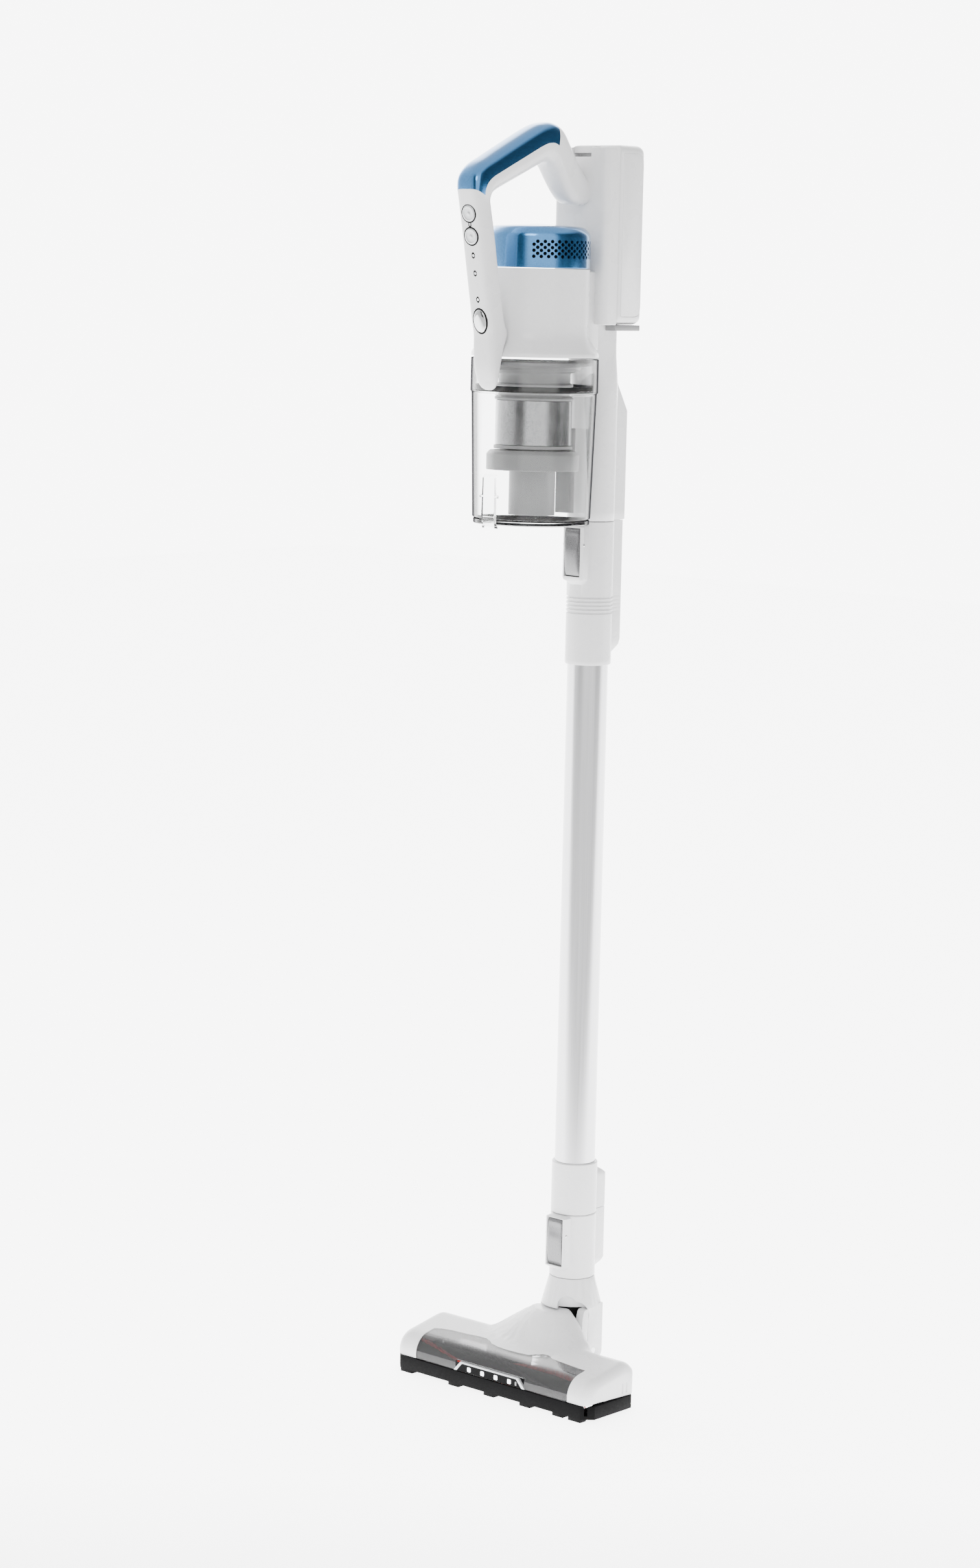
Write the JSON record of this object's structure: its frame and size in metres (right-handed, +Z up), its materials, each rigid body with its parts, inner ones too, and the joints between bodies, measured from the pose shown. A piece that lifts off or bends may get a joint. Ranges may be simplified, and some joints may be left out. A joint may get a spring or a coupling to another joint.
{
  "type": "cordless upright vacuum cleaner",
  "caption": "Cordless upright vacuum cleaner: floor head with brush roll, jointed neck, metal wand, clear dust cup, motor unit, battery pack and loop handle.",
  "frame": {"origin": "on the floor, under the middle of the whole machine's box", "axes": "+Z up, -Y towards the front (the dust cup and controls), +X to the machine's left hand side seen from the front"},
  "size_m": [0.23, 0.21, 1.1165],
  "materials": {
    "white_gloss": "gloss",
    "blue_metallic": "metallic lacquer",
    "grey_metallic": "metallic lacquer",
    "bright_metal": "polished",
    "satin_aluminium": "satin anodised",
    "clear_plastic": "clear",
    "smoke_plastic": "smoke tinted",
    "black_plastic": "matte",
    "silver_plastic": "satin",
    "grey_plastic": "satin",
    "steel_mesh": "fine perforated",
    "steel": "bright",
    "black_rubber": "matte",
    "roll_core": "matte",
    "red_bristle": "tufted",
    "grey_bristle": "tufted",
    "lamp_lens": "frosted",
    "motor_can": "plain",
    "filter_felt": "felt",
    "circuit_board": "solder mask",
    "cell_wrap": "shrink wrap over metal cans"
  },
  "bodies": {
    "head": {"head_top_cover": "white_gloss", "brush_window": "smoke_plastic", "head_sole_plate": "black_plastic", "light_bar": "silver_plastic", "light_lenses": "lamp_lens", "brush_motor": "steel", "brush_belt": "black_rubber", "brush_bearings": "steel", "pitch_pins": "steel", "rear_axle": "steel", "head_weights": "steel"},
    "brush_roll": {"brush_core": "roll_core", "red_bristles": "red_bristle", "grey_bristles": "grey_bristle", "brush_pulley": "black_plastic"},
    "brush_rotor": {"motor_pulley": "black_plastic"},
    "wheel_left": {"rear_wheel_left": "black_plastic"},
    "wheel_right": {"rear_wheel_right": "black_plastic"},
    "yoke": {"neck_yoke": "white_gloss", "air_elbow": "black_plastic"},
    "neck": {"neck_coupling": "white_gloss", "lower_button_pin": "steel"},
    "lower_button": {"lower_release_button": "grey_metallic"},
    "wand": {"wand_tube": "satin_aluminium", "wand_lower_collar": "white_gloss", "wand_upper_collar": "white_gloss", "upper_button_pin": "steel"},
    "upper_button": {"upper_release_button": "grey_metallic"},
    "handheld": {"main_spine": "white_gloss", "battery_dock": "black_plastic", "motor_housing": "white_gloss", "motor_cap": "blue_metallic", "fan_motor": "motor_can", "pre_motor_filter": "filter_felt", "exhaust_filter": "filter_felt", "handle_front_leg": "white_gloss", "handle_grip": "white_gloss", "handle_insert": "blue_metallic", "handle_rear_leg": "white_gloss", "indicator_lamps": "lamp_lens", "control_board": "circuit_board"},
    "impeller": {"fan_impeller": "grey_plastic"},
    "power_button": {"power_button": "grey_metallic"},
    "mode_button": {"mode_button": "grey_metallic"},
    "cup_release": {"cup_release_button": "bright_metal"},
    "battery": {"battery_case": "white_gloss", "battery_cells": "cell_wrap"},
    "battery_tab": {"battery_latch": "white_gloss"},
    "cup": {"dust_cup": "clear_plastic", "cup_seal": "black_rubber", "door_pin": "steel", "cyclone_body": "grey_plastic", "cyclone_mesh": "steel_mesh", "cyclone_skirt": "grey_plastic", "inlet_duct": "grey_plastic"},
    "cup_door": {"cup_door": "clear_plastic", "door_seal": "black_rubber"},
    "cup_latch": {"door_latch": "clear_plastic"}
  },
  "joints": [
    {"name": "head_pitch", "type": "hinge", "parent": "head", "child": "yoke", "pos_m": [0.01, 0.072, 0.028], "axis": [-1, 0, 0], "range_deg": [0, 80]},
    {"name": "neck_swivel", "type": "hinge", "parent": "yoke", "child": "neck", "pos_m": [0.01, 0.07, 0.103], "axis": [0, 0, 1], "range_deg": [-60, 60]},
    {"name": "wand_lift", "type": "slide", "parent": "neck", "child": "wand", "axis": [0, 0, 1], "range_m": [0, 0.034]},
    {"name": "lower_button_press", "type": "hinge", "parent": "neck", "child": "lower_button", "pos_m": [0.01, 0.0465, 0.134], "axis": [1, 0, 0], "range_deg": [0, 5], "stiffness_Nm_per_rad": 0.06, "springref_deg": -5.73},
    {"name": "upper_button_press", "type": "hinge", "parent": "wand", "child": "upper_button", "pos_m": [0.01, 0.0465, 0.751], "axis": [1, 0, 0], "range_deg": [0, 5], "stiffness_Nm_per_rad": 0.06, "springref_deg": -5.73},
    {"name": "handheld_lift", "type": "slide", "parent": "wand", "child": "handheld", "axis": [0, 0, 1], "range_m": [0, 0.034]},
    {"name": "power_press", "type": "slide", "parent": "handheld", "child": "power_button", "axis": [0, 0.9815, 0.1917], "range_m": [0, 0.001], "stiffness_N_per_m": 300, "springref_m": -0.001},
    {"name": "mode_press", "type": "slide", "parent": "handheld", "child": "mode_button", "axis": [0, 0.9815, 0.1917], "range_m": [0, 0.001], "stiffness_N_per_m": 300, "springref_m": -0.001},
    {"name": "cup_release_press", "type": "slide", "parent": "handheld", "child": "cup_release", "axis": [0, 0.9815, 0.1917], "range_m": [0, 0.0015], "stiffness_N_per_m": 300, "springref_m": -0.001},
    {"name": "battery_tab_press", "type": "slide", "parent": "handheld", "child": "battery_tab", "axis": [0, 0, -1], "range_m": [0, 0.0015], "stiffness_N_per_m": 300, "springref_m": -0.001},
    {"name": "battery_lift", "type": "slide", "parent": "handheld", "child": "battery", "axis": [0, 0, 1], "range_m": [0, 0.16]},
    {"name": "impeller_spin", "type": "hinge", "parent": "handheld", "child": "impeller", "pos_m": [0.01, -0.011, 0.928], "axis": [0, 0, 1], "continuous": true},
    {"name": "cup_drop", "type": "slide", "parent": "handheld", "child": "cup", "axis": [0, 0, -1], "range_m": [0, 0.08]},
    {"name": "cup_door_swing", "type": "hinge", "parent": "cup", "child": "cup_door", "pos_m": [0.01, 0.0398, 0.7744], "axis": [1, 0, 0], "range_deg": [0, 75]},
    {"name": "cup_latch_press", "type": "hinge", "parent": "cup", "child": "cup_latch", "pos_m": [0.01, -0.0662, 0.797], "axis": [-1, 0, 0], "range_deg": [0, 5], "stiffness_Nm_per_rad": 0.04, "springref_deg": -5.73},
    {"name": "brush_spin", "type": "hinge", "parent": "head", "child": "brush_roll", "pos_m": [0, -0.0095, 0.0175], "axis": [1, 0, 0], "continuous": true},
    {"name": "brush_motor_spin", "type": "hinge", "parent": "head", "child": "brush_rotor", "pos_m": [0, 0.025, 0.029], "axis": [1, 0, 0], "continuous": true},
    {"name": "left_wheel_roll", "type": "hinge", "parent": "head", "child": "wheel_left", "pos_m": [-0.01, 0.089, 0.008], "axis": [1, 0, 0], "continuous": true},
    {"name": "right_wheel_roll", "type": "hinge", "parent": "head", "child": "wheel_right", "pos_m": [0.03, 0.089, 0.008], "axis": [1, 0, 0], "continuous": true}
  ],
  "couplings": [
    {"joint": "brush_motor_spin", "follows": "brush_spin", "ratio": 2}
  ]
}
